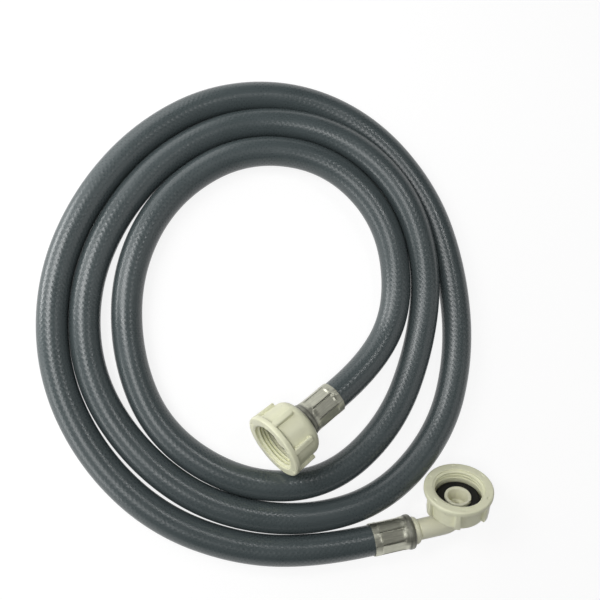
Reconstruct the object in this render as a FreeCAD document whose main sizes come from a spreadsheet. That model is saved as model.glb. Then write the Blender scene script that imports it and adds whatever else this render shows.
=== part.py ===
import FreeCAD, Part
import math
import os
import Sketcher

# A washing-machine style braided supply hose, lying in a loose coil of three turns.
# Millimetres. +Z is up and the floor is Z = 0. The origin is under the middle of the coil.
# Each end fitting has its own frame: origin on the hose's axis where the hose leaves the ferrule,
# local Z along the hose's axis, out of the hose and towards the fitting.

os.makedirs("parts", exist_ok=True)
doc = FreeCAD.newDocument("SupplyLine")

V = FreeCAD.Vector

# ---------------------------------------------------------------------------------------------
# Driving dimensions
# ---------------------------------------------------------------------------------------------

DIMENSIONS = {
    # hose wall, from the inside out
    "hose_bore": 10.0,
    "liner_wall": 1.3,
    "braid_wall": 0.5,
    "cover_wall": 1.0,
    # crimped ferrule
    "ferrule_length": 22.0,
    "ferrule_wall": 0.7,
    "crimp_depth": 0.4,
    "crimp_start": 3.0,
    "crimp_length": 13.0,
    "crimp_count": 8,
    "bead_height": 0.5,
    "bead_width": 2.6,
    # barbed tail
    "tail_bore": 7.0,
    "barb_count": 5,
    "barb_pitch": 3.2,
    "barb_rise": 0.5,
    "barb_fit": 0.05,
    "tip_setback": 2.0,
    "groove_diameter": 10.4,
    "lip_clearance": 0.2,
    # head of the tail, inside the nut
    "neck_diameter": 14.0,
    "head_play": 0.46,
    "head_thickness": 2.0,
    "nose_diameter": 13.6,
    "nose_stand": 1.5,
    "nose_wall": 1.7,
    "nose_bore_depth": 8.2,
    # rubber washer
    "washer_thickness": 2.5,
    "washer_fit": 0.15,
    # union nut, G 3/4: 24.12 is the minor diameter of the thread
    "thread_bore": 24.12,
    "thread_length": 4.6,
    "lead_chamfer": 1.0,
    "undercut_depth": 0.94,
    "washer_depth": 7.3,
    "head_clearance": 0.3,
    "swivel_clearance": 0.3,
    "back_wall": 2.2,
    "nut_wall": 2.6,
    "rib_height": 1.9,
    "rib_width": 3.6,
    "rib_count": 6,
    "flange_step": 0.25,
    "flange_thickness": 3.0,
    "flange_round": 0.9,
    # the straight end's nut and the elbow end's nut
    "straight_nut_length": 20.0,
    "straight_shoulder": 5.0,
    "straight_taper": 0.3,
    "straight_rib_reach": 14.0,
    "straight_gap": 0.3,
    "straight_rib_turn": 36.0,
    "elbow_nut_length": 15.0,
    "elbow_shoulder": 2.0,
    "elbow_taper": 0.8,
    "elbow_rib_reach": 13.0,
    "elbow_rib_turn": 6.0,
    # elbow
    "collar_diameter": 14.4,
    "collar_length": 4.0,
    "collar_groove": 0.5,
    "elbow_tube_diameter": 10.8,
    "elbow_bend": 7.5,
    "elbow_offset": 24.5,
    "elbow_rise": 9.6,
    "elbow_lean": 38.0,
}

# The hose's route on its axis, from the straight end to the elbow end. Both ends are where the hose
# leaves its ferrule. Three open turns, chosen to lie as a hand-laid coil does.
ROUTE = [
    (33.6, -42.4, 14.3), (57, -24.7, 7.8), (71, 9, 9), (63.5, 53.5, 13),
    (31.5, 84.5, 12.5), (-13.5, 88, 10), (-52, 63.5, 7.8), (-72, 23.5, 7.8),
    (-71.5, -22.5, 7.8), (-53, -61.5, 7.8), (-13, -87.5, 7.8), (31, -87.5, 7.8),
    (66, -58, 7.8), (83.5, -14, 7.8), (86.5, 30, 12), (70.5, 71.5, 16.5),
    (35, 100, 13.5), (-10.5, 105, 8.5), (-51, 86, 7.8), (-79.5, 51, 7.8),
    (-94, 9, 7.8), (-89, -35.5, 7.8), (-63.5, -73.5, 7.8), (-27, -98.5, 7.8),
    (19, -105.5, 7.8), (61.5, -94.5, 7.8), (93.5, -61, 7.8), (105.5, -18.5, 7.8),
    (102.5, 27, 7.8), (88.5, 68.5, 7.8), (57, 104, 7.8), (15.5, 121, 7.8),
    (-29.5, 116.5, 7.8), (-67.5, 92.5, 7.8), (-95, 56.5, 7.8), (-109.5, 14, 7.8),
    (-107, -31.5, 7.8), (-87, -71.5, 7.8), (-54.5, -102.5, 7.8), (-12.5, -119, 7.8),
    (28.8, -120.1, 9), (54.4, -115.5, 9),
]


# ---------------------------------------------------------------------------------------------
# Spreadsheet, and lengths that carry their own expression
# ---------------------------------------------------------------------------------------------

sheet = doc.addObject("Spreadsheet::Sheet", "Sizes")
for row, (alias, number) in enumerate(DIMENSIONS.items(), start=1):
    sheet.set("A%d" % row, alias)
    sheet.set("B%d" % row, str(number))
    sheet.setAlias("B%d" % row, alias)
doc.recompute()


class Size:
    """A number together with the spreadsheet expression that gives it."""

    def __init__(self, value, text):
        self.value = value
        self.text = text

    def __add__(self, other):
        other = as_size(other)
        return Size(self.value + other.value, "(%s + %s)" % (self.text, other.text))

    def __sub__(self, other):
        other = as_size(other)
        return Size(self.value - other.value, "(%s - %s)" % (self.text, other.text))

    def __mul__(self, other):
        other = as_size(other)
        return Size(self.value * other.value, "(%s * %s)" % (self.text, other.text))

    def __truediv__(self, other):
        other = as_size(other)
        return Size(self.value / other.value, "(%s / %s)" % (self.text, other.text))


def as_size(number):
    """Give a Size as it is, and a plain number as a Size."""
    if isinstance(number, Size):
        return number
    return Size(float(number), "(%g)" % number)


def dim(alias):
    """Give the spreadsheet's cell of this name as a Size."""
    return Size(float(sheet.get(alias)), "Sizes." + alias)


def radius_of(alias):
    """Give half of a diameter in the spreadsheet."""
    return dim(alias) / 2


# Sizes that several pieces share
liner_radius = radius_of("hose_bore") + dim("liner_wall")
braid_radius = liner_radius + dim("braid_wall")
hose_radius = braid_radius + dim("cover_wall")
ferrule_radius = hose_radius + dim("ferrule_wall")
lip_start = dim("ferrule_length") - dim("ferrule_wall")
grip_length = lip_start - dim("lip_clearance")
seat_depth = dim("washer_depth") + dim("washer_thickness") + dim("head_thickness") + dim("head_clearance")
neck_hole = radius_of("neck_diameter") + dim("swivel_clearance")
head_radius = radius_of("thread_bore") - dim("head_play")
nose_bore_radius = radius_of("nose_diameter") - dim("nose_wall")
undercut_radius = radius_of("thread_bore") + dim("undercut_depth")
nut_radius = undercut_radius + dim("nut_wall")
rib_radius = nut_radius + dim("rib_height")
flange_radius = rib_radius + dim("flange_step")
straight_nut_start = dim("ferrule_length") + dim("straight_gap")
straight_mouth = straight_nut_start + dim("straight_nut_length")
elbow_corner = dim("ferrule_length") + dim("elbow_offset")
elbow_mouth = dim("elbow_rise") + dim("elbow_nut_length")


# ---------------------------------------------------------------------------------------------
# Sketch and body helpers
# ---------------------------------------------------------------------------------------------

def origin_plane(body, role):
    """Give one of the body's own origin planes or axes."""
    return [feature for feature in body.Origin.OriginFeatures if feature.Role == role][0]


def new_body(label):
    """Start a body that carries the node's name."""
    body = doc.addObject("PartDesign::Body", label)
    body.Label = label
    return body


def new_sketch(body, name, role, lift=None):
    """Attach a sketch to an origin plane, raised along the plane's normal by lift."""
    sketch = body.newObject("Sketcher::SketchObject", name)
    sketch.AttachmentSupport = (origin_plane(body, role), [""])
    sketch.MapMode = "FlatFace"
    if lift is not None:
        sketch.AttachmentOffset = FreeCAD.Placement(V(0, 0, lift.value), FreeCAD.Rotation())
        sketch.setExpression("AttachmentOffset.Base.z", lift.text)
    return sketch


def pin_point(sketch, geometry, end, x, y):
    """Hold one end of a line at (x, y), each from the spreadsheet."""
    for kind, size, axis in (("DistanceX", x, -2), ("DistanceY", y, -1)):
        if abs(size.value) < 1e-9:
            sketch.addConstraint(Sketcher.Constraint("PointOnObject", geometry, end, axis))
            continue
        index = sketch.addConstraint(Sketcher.Constraint(kind, -1, 1, geometry, end, size.value))
        sketch.setExpression("Constraints[%d]" % index, size.text)


def draw_outline(sketch, corners):
    """Draw a closed outline of straight lines through the corners."""
    corners = [(as_size(x), as_size(y)) for x, y in corners]
    count = len(corners)
    for index in range(count):
        start, finish = corners[index], corners[(index + 1) % count]
        line = Part.LineSegment(V(start[0].value, start[1].value, 0), V(finish[0].value, finish[1].value, 0))
        sketch.addGeometry(line, False)
    for index in range(count):
        sketch.addConstraint(Sketcher.Constraint("Coincident", index, 2, (index + 1) % count, 1))
        pin_point(sketch, index, 1, *corners[index])


def revolve(body, name, corners, role="XZ_Plane"):
    """Turn an outline of (radius, height) about the body's Z axis."""
    sketch = new_sketch(body, name + "Profile", role)
    draw_outline(sketch, corners)
    feature = body.newObject("PartDesign::Revolution", name)
    feature.Profile = sketch
    feature.ReferenceAxis = (sketch, ["V_Axis"])
    feature.Angle = 360.0
    doc.recompute()
    return feature


def turned_about_x(body, name, corners, height, groove=False):
    """Turn an outline of (distance along X, radius) about a line along X at this height."""
    sketch = new_sketch(body, name + "Profile", "XZ_Plane")
    draw_outline(sketch, [(x, height + as_size(r)) for x, r in corners])
    far = as_size(corners[-1][0])
    axis = sketch.addGeometry(Part.LineSegment(V(0, height.value, 0), V(far.value, height.value, 0)), True)
    pin_point(sketch, axis, 1, as_size(0), height)
    pin_point(sketch, axis, 2, far, height)
    feature = body.newObject("PartDesign::Groove" if groove else "PartDesign::Revolution", name)
    feature.Profile = sketch
    feature.ReferenceAxis = (sketch, ["Axis0"])
    feature.Angle = 360.0
    doc.recompute()
    return feature


def round_circles(body, name, size, circles):
    """Round the circular edges of the body's tip that have these radii and heights."""
    base = body.Tip
    names = []
    for number, edge in enumerate(base.Shape.Edges, start=1):
        if not isinstance(edge.Curve, Part.Circle):
            continue
        for radius, height in circles:
            same_radius = abs(edge.Curve.Radius - radius.value) < 1e-4
            if same_radius and abs(edge.Curve.Center.z - height.value) < 1e-4:
                names.append("Edge%d" % number)
    feature = body.newObject("PartDesign::Fillet", name)
    feature.Base = (base, names)
    feature.Radius = size.value
    feature.setExpression("Radius", size.text)
    doc.recompute()
    return feature


def repeat_round_axis(body, name, feature, count):
    """Repeat a feature evenly about the body's Z axis."""
    pattern = body.newObject("PartDesign::PolarPattern", name)
    pattern.Originals = [feature]
    pattern.Axis = (origin_plane(body, "Z_Axis"), [""])
    pattern.Angle = 360.0
    pattern.Occurrences = int(count.value)
    pattern.setExpression("Occurrences", count.text)
    body.Tip = pattern
    doc.recompute()
    return pattern


# ---------------------------------------------------------------------------------------------
# Frames of the two end fittings
# ---------------------------------------------------------------------------------------------

def end_placement(tip, inward, across):
    """Place a fitting on the hose end at tip: local Z runs from inward to tip, local X near across."""
    z_axis = (V(*tip) - V(*inward)).normalize()
    x_axis = (across - z_axis * across.dot(z_axis)).normalize()
    y_axis = z_axis.cross(x_axis)
    return FreeCAD.Placement(V(*tip), FreeCAD.Rotation(x_axis, y_axis, z_axis, "ZXY"))


lean = math.radians(dim("elbow_lean").value)
elbow_axis = V(*ROUTE[-1]) - V(*ROUTE[-2])
elbow_side = V(0, 0, 1).cross(elbow_axis).normalize()
nut_direction = elbow_side * math.cos(lean) + V(0, 0, 1) * math.sin(lean)

straight_frame = end_placement(ROUTE[0], ROUTE[1], V(0, 0, 1))
elbow_frame = end_placement(ROUTE[-1], ROUTE[-2], nut_direction)


def frame_at(frame, offset, turn=FreeCAD.Rotation()):
    """Give the frame moved by a local offset and then turned in place."""
    return frame.multiply(FreeCAD.Placement(offset, turn))


def spin(turn):
    """Give a turn about local Z by an angle in degrees."""
    return FreeCAD.Rotation(V(0, 0, 1), turn.value)


# Local Z of the elbow nut lies along local X of the elbow's frame.
quarter_turn = FreeCAD.Rotation(V(0, 1, 0), 90)
elbow_nut_turn = quarter_turn.multiply(spin(dim("elbow_rib_turn")))
straight_nut_frame = frame_at(straight_frame, V(0, 0, straight_nut_start.value),
                              spin(dim("straight_rib_turn")))
elbow_nut_frame = frame_at(elbow_frame, V(dim("elbow_rise").value, 0, elbow_corner.value),
                           elbow_nut_turn)


# ---------------------------------------------------------------------------------------------
# Hose: three bonded layers on one route
# ---------------------------------------------------------------------------------------------

def route_wire():
    """Join the route's runs by tangent arcs, and carry both ends straight on into their ferrules."""
    points = [V(*point) for point in ROUTE]
    first = points[0] + (points[0] - points[1]).normalize() * grip_length.value
    last = points[-1] + (points[-1] - points[-2]).normalize() * grip_length.value
    edges = []
    start = first
    for before, corner, after in zip(points, points[1:], points[2:]):
        into, out = corner - before, after - corner
        turn = into.getAngle(out)
        reach = 0.45 * min(into.Length, out.Length)
        radius = reach / math.tan(turn / 2)
        begin = corner - into.normalize() * reach
        finish = corner + out.normalize() * reach
        bisector = (begin + finish) * 0.5 - corner
        depth = radius / math.cos(turn / 2) - radius
        middle = corner + bisector.normalize() * depth
        edges.append(Part.LineSegment(start, begin).toShape())
        edges.append(Part.Arc(begin, middle, finish).toShape())
        print("route radius %.1f mm, turn %.1f degrees" % (radius, math.degrees(turn)))
        start = finish
    edges.append(Part.LineSegment(start, last).toShape())
    return Part.Wire(edges)


def hose_layer(label, inner, outer):
    """Sweep a ring section along the whole route as one closed solid."""
    start = spine.Edges[0]
    direction = start.tangentAt(start.FirstParameter)
    centre = start.valueAt(start.FirstParameter)
    discs = [Part.Face(Part.Wire(Part.makeCircle(size.value, centre, direction))) for size in (outer, inner)]
    section = discs[0].cut(discs[1]).Faces[0]
    layer = doc.addObject("Part::Feature", label)
    layer.Label = label
    layer.Shape = spine.makePipe(section)
    layer.Placement = FreeCAD.Placement()
    expected = section.Area * spine.Length
    print("%s volume %.0f of %.0f mm3" % (label, layer.Shape.Volume, expected))
    return layer


spine = route_wire()
print("hose length %.0f mm, %.0f mm of it between the ferrules"
      % (spine.Length, spine.Length - 2 * grip_length.value))

hose_liner = hose_layer("hose_liner", radius_of("hose_bore"), liner_radius)
hose_braid = hose_layer("hose_braid", liner_radius, braid_radius)
hose_cover = hose_layer("hose_cover", braid_radius, hose_radius)


# ---------------------------------------------------------------------------------------------
# Crimped ferrule: plain band, eight pressed flats, bead and a lip turned in behind the tail's collar
# ---------------------------------------------------------------------------------------------

def make_ferrule(label, placement):
    """Build one crimped ferrule in its end's frame."""
    body = new_body(label)
    length = dim("ferrule_length")
    bead_radius = ferrule_radius + dim("bead_height")
    bead_start = length - dim("bead_width")
    lip_radius = radius_of("groove_diameter") + dim("lip_clearance")
    revolve(body, "Shell", [
        (hose_radius, 0),
        (ferrule_radius - 0.2, 0),
        (ferrule_radius, 0.5),
        (ferrule_radius, bead_start - dim("bead_height")),
        (bead_radius, bead_start),
        (bead_radius, length - dim("bead_height")),
        (bead_radius - dim("bead_height"), length),
        (lip_radius, length),
        (lip_radius, lip_start),
        (hose_radius, lip_start),
    ])
    sketch = new_sketch(body, "CrimpOutline", "XY_Plane", dim("crimp_start"))
    flat = ferrule_radius - dim("crimp_depth")
    outside = ferrule_radius + dim("ferrule_wall")
    half = ferrule_radius / 2
    draw_outline(sketch, [
        (flat, as_size(0) - half),
        (outside, as_size(0) - half),
        (outside, half),
        (flat, half),
    ])
    flats = body.newObject("PartDesign::Pocket", "CrimpFlat")
    flats.Profile = sketch
    flats.Length = dim("crimp_length").value
    flats.setExpression("Length", dim("crimp_length").text)
    flats.Reversed = True
    doc.recompute()
    repeat_round_axis(body, "CrimpFlats", flats, dim("crimp_count"))
    body.Placement = placement
    return body


straight_ferrule = make_ferrule("straight_ferrule", straight_frame)
elbow_ferrule = make_ferrule("elbow_ferrule", elbow_frame)


# ---------------------------------------------------------------------------------------------
# Tails: barbed shank in the hose, groove for the ferrule's lip, neck and head inside the nut
# ---------------------------------------------------------------------------------------------

def barbed_shank():
    """Give the shank's outline from its tip to the end of the ferrule's groove."""
    crest = radius_of("hose_bore") - dim("barb_fit")
    root = crest - dim("barb_rise")
    groove = radius_of("groove_diameter")
    tip = dim("tip_setback")
    corners = [(radius_of("tail_bore"), tip), (root - 0.3, tip)]
    for index in range(int(dim("barb_count").value)):
        foot = tip + dim("barb_pitch") * index
        corners.append((root, foot + 0.4))
        corners.append((crest, foot + dim("barb_pitch") - 0.4))
        corners.append((root, foot + dim("barb_pitch") - 0.2))
    corners.append((root, grip_length))
    corners.append((groove, grip_length))
    corners.append((groove, dim("ferrule_length") + dim("lip_clearance")))
    return corners


def head_outline(back):
    """Give the head's outline from its back at this height: flange, nose through the washer."""
    nose = radius_of("nose_diameter")
    face = back + dim("head_thickness")
    top = face + dim("washer_thickness") + dim("nose_stand")
    return [
        (head_radius, back + 0.2),
        (head_radius, face),
        (nose, face),
        (nose, top - 0.5),
        (nose - 0.5, top),
        (nose_bore_radius + 0.4, top),
        (nose_bore_radius, top - 0.4),
        (nose_bore_radius, top - dim("nose_bore_depth")),
    ]


def make_straight_tail():
    """Build the straight tail: its head has a cone behind it that sits in the nut's coned back."""
    body = new_body("straight_tail")
    head_back = straight_mouth - seat_depth + dim("head_clearance")
    cone_start = straight_nut_start + dim("back_wall") + dim("head_clearance")
    neck = radius_of("neck_diameter")
    bore_end = head_back + dim("head_thickness") + dim("washer_thickness") + dim("nose_stand")
    bore_end = bore_end - dim("nose_bore_depth")
    revolve(body, "Tail", barbed_shank() + [
        (neck, dim("ferrule_length") + dim("lip_clearance")),
        (neck, cone_start),
    ] + head_outline(head_back) + [
        (radius_of("tail_bore"), bore_end - 1.2),
    ])
    body.Placement = straight_frame
    return body


def make_elbow_tail():
    """Build the elbow: shank and collar along Z, a swept bend, and a neck and head along X."""
    body = new_body("elbow_tail")
    tube = radius_of("elbow_tube_diameter")
    collar = radius_of("collar_diameter")
    collar_start = dim("ferrule_length") + dim("lip_clearance")
    collar_end = collar_start + dim("collar_length")
    collar_middle = collar_start + dim("collar_length") * 0.45
    tube_end = elbow_corner - dim("elbow_bend")
    revolve(body, "Shank", barbed_shank() + [
        (collar - 0.3, collar_start),
        (collar, collar_start + 0.3),
        (collar, collar_middle - 0.3),
        (collar - dim("collar_groove"), collar_middle),
        (collar - dim("collar_groove"), collar_middle + 0.3),
        (collar - 0.2, collar_middle + 0.5),
        (collar - 0.2, collar_end - 0.8),
        (collar - 0.9, collar_end),
        (tube, collar_end),
        (tube, tube_end),
        (radius_of("tail_bore"), tube_end),
    ])
    neck_start = dim("elbow_bend")
    path = new_sketch(body, "BendPath", "XZ_Plane")
    bend = dim("elbow_bend")
    centre = V(bend.value, tube_end.value, 0)
    circle = Part.Circle(centre, V(0, 0, 1), bend.value)
    arc = path.addGeometry(Part.ArcOfCircle(circle, math.pi / 2, math.pi), False)
    pin_point(path, arc, 3, bend, tube_end)
    radius_index = path.addConstraint(Sketcher.Constraint("Radius", arc, bend.value))
    path.setExpression("Constraints[%d]" % radius_index, bend.text)
    path.addConstraint(Sketcher.Constraint("Vertical", arc, 3, arc, 1))
    path.addConstraint(Sketcher.Constraint("Horizontal", arc, 3, arc, 2))
    section = new_sketch(body, "BendSection", "XY_Plane", tube_end)
    for size in (tube, radius_of("tail_bore")):
        ring = section.addGeometry(Part.Circle(V(0, 0, 0), V(0, 0, 1), size.value), False)
        section.addConstraint(Sketcher.Constraint("Coincident", ring, 3, -1, 1))
        index = section.addConstraint(Sketcher.Constraint("Radius", ring, size.value))
        section.setExpression("Constraints[%d]" % index, size.text)
    pipe = body.newObject("PartDesign::AdditivePipe", "Bend")
    pipe.Profile = section
    pipe.Spine = (path, ["Edge1"])
    doc.recompute()
    head_back = elbow_mouth - seat_depth + dim("head_clearance")
    neck = radius_of("neck_diameter")
    head = [(height, radius) for radius, height in head_outline(head_back)]
    bore_end = head_back + dim("head_thickness") + dim("washer_thickness") + dim("nose_stand")
    bore_end = bore_end - dim("nose_bore_depth")
    turned_about_x(body, "Head", [
        (neck_start, radius_of("tail_bore")),
        (neck_start, tube),
        (neck_start + 1.0, neck),
        (head_back, neck),
        (head_back, head_radius - 0.2),
    ] + head + [
        (bore_end - 0.6, radius_of("tail_bore")),
    ], elbow_corner)
    body.Placement = elbow_frame
    return body


straight_tail = make_straight_tail()
elbow_tail = make_elbow_tail()


# ---------------------------------------------------------------------------------------------
# Rubber washers, on the head's face and round its nose
# ---------------------------------------------------------------------------------------------

def make_washer(label, placement, nut_length):
    """Build one flat washer in its nut's frame."""
    body = new_body(label)
    top = nut_length - dim("washer_depth")
    bottom = top - dim("washer_thickness")
    inner = radius_of("nose_diameter") + dim("washer_fit")
    outer = head_radius
    revolve(body, "Ring", [
        (inner, bottom),
        (outer, bottom),
        (outer, top - 0.3),
        (outer - 0.3, top),
        (inner + 0.2, top),
        (inner, top - 0.2),
    ])
    body.Placement = placement
    return body


straight_washer = make_washer("straight_washer", straight_nut_frame, dim("straight_nut_length"))
elbow_washer = make_washer("elbow_washer", elbow_nut_frame, dim("elbow_nut_length"))


# ---------------------------------------------------------------------------------------------
# Union nuts: flanged mouth, threaded wall, undercut for the washer, ribs and a rounded back
# ---------------------------------------------------------------------------------------------

def make_nut(label, placement, end, coned_back):
    """Build one union nut from its back face at Z = 0 to its mouth; end is straight or elbow."""
    body = new_body(label)
    length = dim(end + "_nut_length")
    rib_reach = dim(end + "_rib_reach")
    back_radius = nut_radius - dim(end + "_taper")
    flange_back = length - dim("flange_thickness")
    seat = length - seat_depth
    thread = radius_of("thread_bore")
    thread_end = length - dim("lead_chamfer") - dim("thread_length")
    outline = [
        (neck_hole, 0),
        (back_radius, 0),
        (nut_radius, flange_back),
        (flange_radius, flange_back),
        (flange_radius, length),
        (thread + dim("lead_chamfer"), length),
        (thread, length - dim("lead_chamfer")),
        (thread, thread_end),
        (undercut_radius, thread_end - dim("undercut_depth")),
        (undercut_radius, seat),
    ]
    if coned_back:
        outline.append((head_radius + dim("head_clearance"), seat))
        outline.append((neck_hole, dim("back_wall")))
    else:
        outline.append((neck_hole, seat))
    revolve(body, "Shell", outline)
    flange_edges = [(flange_radius, flange_back), (flange_radius, length)]
    round_circles(body, "FlangeRound", dim("flange_round"), flange_edges)
    round_circles(body, "BackRound", dim(end + "_shoulder"), [(back_radius, as_size(0))])

    half = dim("rib_width") / 2
    foot = back_radius - 0.6
    crown = rib_radius - half
    section = new_sketch(body, "RibSection", "XY_Plane", length - rib_reach)
    corners = [V(x.value, y, 0) for x, y in (
        (foot, -half.value), (crown, -half.value), (crown, half.value), (foot, half.value))]
    ring = Part.Circle(V(crown.value, 0, 0), V(0, 0, 1), half.value)
    section.addGeometry(Part.LineSegment(corners[0], corners[1]), False)
    section.addGeometry(Part.ArcOfCircle(ring, -math.pi / 2, math.pi / 2), False)
    section.addGeometry(Part.LineSegment(corners[2], corners[3]), False)
    section.addGeometry(Part.LineSegment(corners[3], corners[0]), False)
    for first, second in ((0, 1), (1, 2)):
        section.addConstraint(Sketcher.Constraint("Tangent", first, 2, second, 1))
    for first, second in ((2, 3), (3, 0)):
        section.addConstraint(Sketcher.Constraint("Coincident", first, 2, second, 1))
    section.addConstraint(Sketcher.Constraint("Horizontal", 0))
    section.addConstraint(Sketcher.Constraint("Vertical", 3))
    section.addConstraint(Sketcher.Constraint("PointOnObject", 1, 3, -1))
    for kind, geometry, end, size in (("DistanceX", 1, 3, crown), ("DistanceX", 3, 1, foot)):
        index = section.addConstraint(Sketcher.Constraint(kind, -1, 1, geometry, end, size.value))
        section.setExpression("Constraints[%d]" % index, size.text)
    index = section.addConstraint(Sketcher.Constraint("Radius", 1, half.value))
    section.setExpression("Constraints[%d]" % index, half.text)

    rib = body.newObject("PartDesign::Pad", "Rib")
    rib.Profile = section
    reach = rib_reach - dim("flange_thickness") / 2
    rib.Length = reach.value
    rib.setExpression("Length", reach.text)
    doc.recompute()
    repeat_round_axis(body, "Ribs", rib, dim("rib_count"))
    body.Placement = placement
    return body


straight_nut = make_nut("straight_nut", straight_nut_frame, "straight", True)
elbow_nut = make_nut("elbow_nut", elbow_nut_frame, "elbow", False)


# ---------------------------------------------------------------------------------------------
# Checks and export
# ---------------------------------------------------------------------------------------------

NODES = [
    hose_liner, hose_braid, hose_cover,
    straight_ferrule, straight_tail, straight_washer, straight_nut,
    elbow_ferrule, elbow_tail, elbow_washer, elbow_nut,
]

doc.recompute()
for item in doc.Objects:
    if "Invalid" in item.State or "Error" in item.State:
        raise RuntimeError("%s did not recompute: %s" % (item.Label, item.State))
for node in NODES:
    if node.Shape.isNull() or not node.Shape.isValid() or len(node.Shape.Solids) != 1:
        raise RuntimeError("%s is not one valid solid" % node.Label)
for node in NODES:
    node.Shape.exportStep("parts/%s.step" % node.Label)
    print("%-18s %9.1f mm3" % (node.Label, node.Shape.Volume))
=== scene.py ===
import math

import bmesh
import bpy
from bpy.props import FloatProperty, FloatVectorProperty, IntProperty, PointerProperty
from bpy.types import Operator, Panel, PropertyGroup
from mathutils import Matrix, Vector


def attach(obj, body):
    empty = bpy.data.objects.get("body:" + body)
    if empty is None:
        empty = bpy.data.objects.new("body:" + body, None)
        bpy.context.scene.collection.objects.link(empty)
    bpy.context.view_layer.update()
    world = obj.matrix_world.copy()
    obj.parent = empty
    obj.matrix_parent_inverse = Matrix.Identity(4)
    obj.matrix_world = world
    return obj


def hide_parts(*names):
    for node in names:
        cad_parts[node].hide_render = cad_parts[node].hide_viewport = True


bl_info = {
    "name": "Supply Line",
    "version": (1, 0, 0),
    "blender": (4, 5, 0),
    "location": "View3D > Sidebar > Supply Line",
    "description": "Dresses a braided supply line: hose, crimped ferrules, tails, washers and union nuts",
    "category": "Add Mesh",
}

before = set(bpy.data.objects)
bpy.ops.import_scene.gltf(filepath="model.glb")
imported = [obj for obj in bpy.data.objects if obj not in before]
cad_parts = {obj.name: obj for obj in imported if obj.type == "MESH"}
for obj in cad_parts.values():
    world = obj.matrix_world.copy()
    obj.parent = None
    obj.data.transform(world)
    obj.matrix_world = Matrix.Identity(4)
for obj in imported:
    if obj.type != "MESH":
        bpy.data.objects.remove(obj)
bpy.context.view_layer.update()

MM = 0.001
FULL_TURN = 2 * math.pi
UP = Vector((0, 0, 1))
WELD = 0.002 * MM

# The hose's route on its axis, in metres, from the straight end to the elbow end.
ROUTE = [
    (0.0336, -0.0424, 0.0143), (0.057, -0.0247, 0.0078), (0.07209, 0.00914, 0.009),
    (0.06426, 0.05414, 0.013), (0.03188, 0.08553, 0.0125), (-0.0137, 0.08928, 0.01),
    (-0.05248, 0.06408, 0.0078), (-0.07229, 0.02359, 0.0078), (-0.0715, -0.0225, 0.0078),
    (-0.05365, -0.06226, 0.0078), (-0.01299, -0.08745, 0.0078), (0.031, -0.0875, 0.0078),
    (0.066, -0.058, 0.0078), (0.0837, -0.01403, 0.0078), (0.08688, 0.03013, 0.012),
    (0.07073, 0.07173, 0.0165), (0.03515, 0.10042, 0.0135), (-0.01054, 0.10545, 0.0085),
    (-0.05103, 0.08604, 0.0078), (-0.07963, 0.05108, 0.0078), (-0.0942, 0.00902, 0.0078),
    (-0.08928, -0.03561, 0.0078), (-0.0635, -0.0735, 0.0078), (-0.02697, -0.09838, 0.0078),
    (0.0191, -0.10606, 0.0078), (0.06194, -0.09517, 0.0078), (0.09392, -0.06127, 0.0078),
    (0.1054, -0.0185, 0.0078), (0.10231, 0.02695, 0.0078), (0.08836, 0.06839, 0.0078),
    (0.057, 0.104, 0.0078), (0.01548, 0.12085, 0.0078), (-0.02941, 0.11616, 0.0078),
    (-0.06721, 0.0921, 0.0078), (-0.09448, 0.05619, 0.0078), (-0.10905, 0.01394, 0.0078),
    (-0.10657, -0.03137, 0.0078), (-0.08692, -0.07144, 0.0078), (-0.0545, -0.1025, 0.0078),
    (-0.01247, -0.1187, 0.0078), (0.0288, -0.1201, 0.009), (0.0544, -0.1155, 0.009),
]

# Places and sizes along the two end fittings, in millimetres. Heights in a tail are from the hose's end.
FERRULE_RADIUS = 8.5
FERRULE_LENGTH = 22.0
STRAIGHT_NUT_START = 22.3
STRAIGHT_NUT_LENGTH = 20.0
ELBOW_NUT_LENGTH = 15.0
ELBOW_CORNER = 46.5
ELBOW_RISE = 9.6
ELBOW_BEND = 7.5
ELBOW_LEAN = math.radians(38)
TIP_SETBACK = 2.0
SHANK_RADIUS = 4.45
BARB_RADIUS = 4.9
BARB_PITCH = 3.2
NECK_RADIUS = 7.0
HEAD_RADIUS = 11.6
HEAD_THICKNESS = 2.0
HEAD_LIFT = 0.3
NOSE_RADIUS = 6.8
NOSE_STAND = 1.5
WASHER_DEPTH = 7.3
WASHER_THICKNESS = 2.5
SEAT_DEPTH = WASHER_DEPTH + WASHER_THICKNESS + HEAD_THICKNESS + HEAD_LIFT
NECK_HOLE = 7.3
RIBS = 6
RIM = 0.9
MARK_INSIDE = 2.75
MARK_OUTSIDE = 1.35

# The stage: how bright the floor is where it is seen, and where the camera stands and looks, in metres.
SEEN_FLOOR = (0.2, 0.2, 0.2)
FLOOR_GLOW = 0.86
CAMERA_PLACE = Vector((-0.0589, -0.0458, 0.4194))
CAMERA_AIM = Vector((0.0188, 0.0094, 0.0))
CAMERA_RIGHT = Vector((0.9833, 0.0, 0.1822)).normalized()

# Each lamp's name, its power in watts, its width and height, and its place, in metres.
LAMPS = (
    ("Low Left Lamp", 0.90, (0.30, 0.12), (-0.47, 0.17, 0.07)),
    ("Left Lamp", 0.85, (0.20, 0.20), (-0.30, 0.11, 0.40)),
    ("Middle Left Lamp", 0.20, (0.20, 0.20), (-0.42, 0.15, 0.24)),
    ("Near Left Lamp", 0.42, (0.35, 0.14), (-0.42, -0.24, 0.10)),
    ("Far Lamp", 0.40, (0.30, 0.30), (-0.25, 0.40, 0.20)),
    ("Near Lamp", 0.60, (0.45, 1.10), (-0.85, -0.71, 0.58)),
    ("Overhead Lamp", 6.40, (0.90, 0.54), (-0.53, -0.28, 1.48)),
    ("Small Top Lamp", 0.18, (0.07, 0.07), (0.15, 0.13, 0.42)),
    ("Right Lamp", 0.70, (0.50, 0.60), (0.75, -0.18, 0.62)),
)


# Settings

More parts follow.
